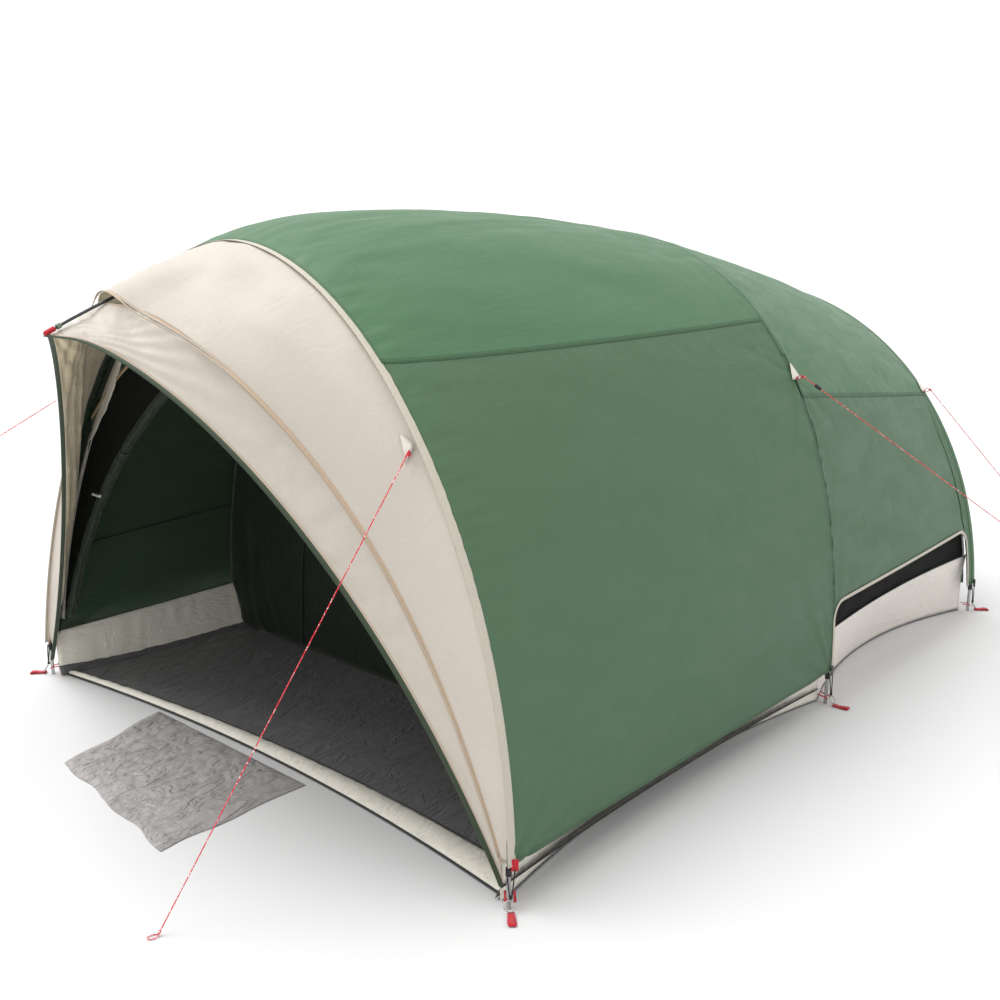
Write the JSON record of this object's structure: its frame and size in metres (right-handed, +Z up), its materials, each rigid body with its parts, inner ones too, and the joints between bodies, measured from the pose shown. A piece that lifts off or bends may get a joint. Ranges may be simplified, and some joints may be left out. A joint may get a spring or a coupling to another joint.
{
  "type": "pole tent",
  "caption": "Family tent on flexible hoop poles with a ridge pole, front visor porch, sleeping cabin, side vents, bathtub floor and guy lines.",
  "frame": {"origin": "on the ground under the middle of the tent's bounding box, guy lines left out", "axes": "+Z up, -Y towards the visor and doorway, +X across the tent"},
  "size_m": [2.966, 3.8925, 1.643],
  "materials": {
    "fly_green": "satin",
    "cream_cloth": "satin",
    "black_mesh": "matte",
    "cabin_cloth": "matte",
    "floor_grey": "satin",
    "mat_grey": "satin",
    "green_webbing": "matte",
    "red_webbing": "matte",
    "guy_cord": "matte",
    "elastic_black": "matte",
    "fibreglass": "gloss",
    "steel": "satin",
    "black_plastic": "matte",
    "green_plastic": "matte",
    "zip_white": "matte"
  },
  "bodies": {
    "root": {"front_hoop_rods": "fibreglass", "mid_hoop_rods": "fibreglass", "rear_hoop_rods": "fibreglass", "ridge_pole_rods": "fibreglass", "pole_ferrules": "steel", "shock_cords": "elastic_black", "pole_feet": "steel", "pole_collars": "black_plastic", "corner_rings": "steel", "corner_straps": "red_webbing", "peg_loops": "red_webbing", "corner_elastics": "elastic_black", "ridge_pockets": "red_webbing", "ridge_stop": "green_plastic", "visor": "cream_cloth", "porch_panel": "cream_cloth", "fly_roof": "fly_green", "fly_side_right": "fly_green", "fly_side_left": "fly_green", "tail_roof": "fly_green", "tail_side_right": "fly_green", "tail_side_left": "fly_green", "vent_piping": "cream_cloth", "rear_hood": "cream_cloth", "rear_wall": "fly_green", "visor_binding": "green_webbing", "seam_band": "cream_cloth", "front_frame": "cabin_cloth", "door_zips": "zip_white", "door_mesh": "black_mesh", "door_rolls": "cabin_cloth", "door_ties": "elastic_black", "groundsheet": "floor_grey", "threshold": "cream_cloth", "bathtub_porch_right": "cream_cloth", "bathtub_porch_left": "cream_cloth", "bathtub_cabin_right": "cream_cloth", "bathtub_cabin_left": "cream_cloth", "bathtub_rear": "cream_cloth", "vent_mesh": "black_mesh", "cabin_front_wall": "cabin_cloth", "cabin_liner_roof": "cabin_cloth", "cabin_liner_sides": "cabin_cloth", "guyout_patches": "cream_cloth", "guyout_loops": "red_webbing", "guy_front_right": "guy_cord", "guy_end_front_right": "guy_cord", "guy_mid_right": "guy_cord", "guy_end_mid_right": "guy_cord", "guy_rear_right": "guy_cord", "guy_end_rear_right": "guy_cord", "guy_front_left": "guy_cord", "guy_end_front_left": "guy_cord"},
    "runner": {"guy_runner": "black_plastic"},
    "slider_right": {"zip_slider_right": "steel"},
    "slider_left": {"zip_slider_left": "steel"},
    "toggle_right": {"door_toggle_right": "zip_white"},
    "toggle_left": {"door_toggle_left": "zip_white"},
    "doormat": {"doormat": "mat_grey"}
  },
  "joints": [
    {"name": "runner_slide", "type": "slide", "parent": "root", "child": "runner", "axis": [0.4126, 0.7194, -0.5588], "range_m": [0, 0.5]},
    {"name": "zip_right_run", "type": "hinge", "parent": "root", "child": "slider_right", "pos_m": [-0.92192, -1.25025, -0.04096], "axis": [0, 0.9979, -0.0649], "range_deg": [-30.28, 0]},
    {"name": "zip_left_run", "type": "hinge", "parent": "root", "child": "slider_left", "pos_m": [0.92192, -1.25025, -0.04096], "axis": [0, 0.9979, -0.0649], "range_deg": [0, 30.28]},
    {"name": "toggle_right_turn", "type": "hinge", "parent": "root", "child": "toggle_right", "pos_m": [0.74637, -1.2232, 0.72215], "axis": [0, 0.9979, -0.0649], "range_deg": [-80, 80]},
    {"name": "toggle_left_turn", "type": "hinge", "parent": "root", "child": "toggle_left", "pos_m": [-0.74637, -1.2232, 0.72215], "axis": [0, 0.9979, -0.0649], "range_deg": [-80, 80]},
    {"name": "doormat_fold", "type": "hinge", "parent": "root", "child": "doormat", "pos_m": [0, -1.18562, 0.0025], "axis": [-1, 0, 0], "range_deg": [0, 150]}
  ]
}
